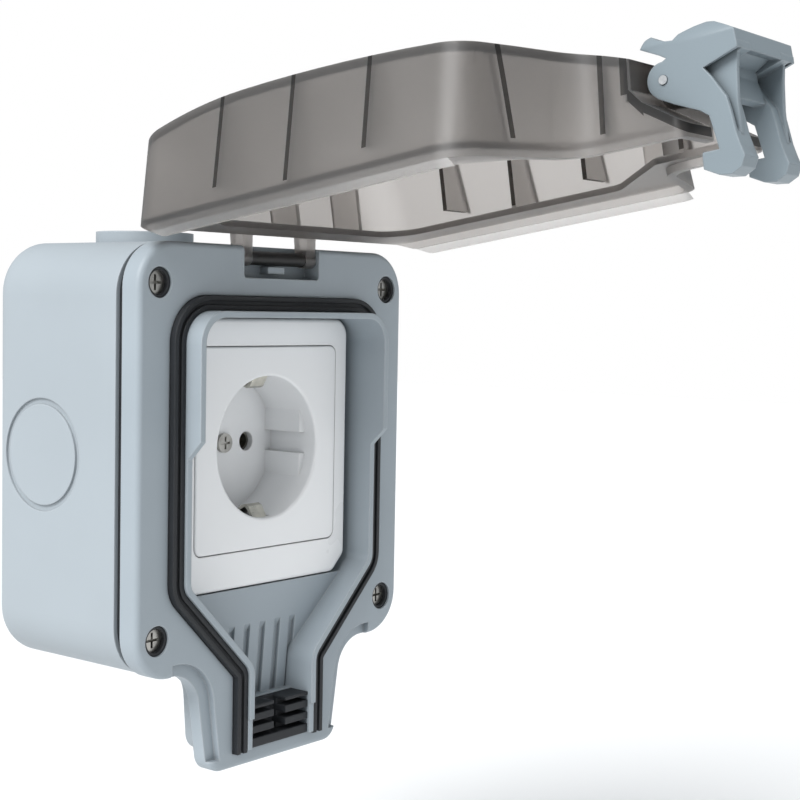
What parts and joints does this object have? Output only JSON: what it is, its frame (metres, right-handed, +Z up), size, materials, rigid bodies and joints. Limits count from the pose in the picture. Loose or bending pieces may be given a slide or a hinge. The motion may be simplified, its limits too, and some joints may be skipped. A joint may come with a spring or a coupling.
{
  "type": "outdoor weatherproof socket",
  "caption": "Wall-mounted weatherproof earthed power socket: deep back box, front cover with sealed collar, hinged smoky lid and snap latch with a cable exit at the foot.",
  "frame": {"origin": "centre of the back box's flat rear face, where it meets the wall", "axes": "+X to the right seen from the front, +Z up, -Y out of the wall towards the user"},
  "size_m": [0.1084, 0.201, 0.1876],
  "materials": {
    "box_plastic": "fine satin",
    "cover_plastic": "fine satin",
    "white_plastic": "smooth",
    "smoky_plastic": "smoky, see-through",
    "latch_plastic": "satin",
    "black_rubber": "matt",
    "screw_steel": "plated",
    "pin_steel": "bright",
    "brass_strip": "nickel-washed"
  },
  "bodies": {
    "housing": {"back_box": "box_plastic", "box_gasket": "black_rubber", "front_plate": "cover_plastic", "lid_seal": "black_rubber", "cable_grommet": "black_rubber", "cover_screws": "screw_steel", "screw_seals": "black_rubber", "socket_frame": "white_plastic", "socket_face": "white_plastic", "socket_base": "white_plastic", "centre_screw": "screw_steel", "earth_clip": "brass_strip", "live_contact": "brass_strip", "neutral_contact": "brass_strip", "terminal_screws": "screw_steel", "frame_screws": "screw_steel", "hinge_pin": "pin_steel"},
    "lid_body": {"lid": "smoky_plastic"},
    "latch_body": {"latch": "latch_plastic", "latch_pin": "pin_steel"}
  },
  "joints": [
    {"name": "lid_hinge", "type": "hinge", "parent": "housing", "child": "lid_body", "pos_m": [0, -0.0537, 0.0532], "axis": [1, 0, 0], "range_deg": [0, 98.8]},
    {"name": "latch_pivot", "type": "hinge", "parent": "lid_body", "child": "latch_body", "pos_m": [0, -0.18117, 0.09064], "axis": [1, 0, 0], "range_deg": [-12, 9]}
  ]
}
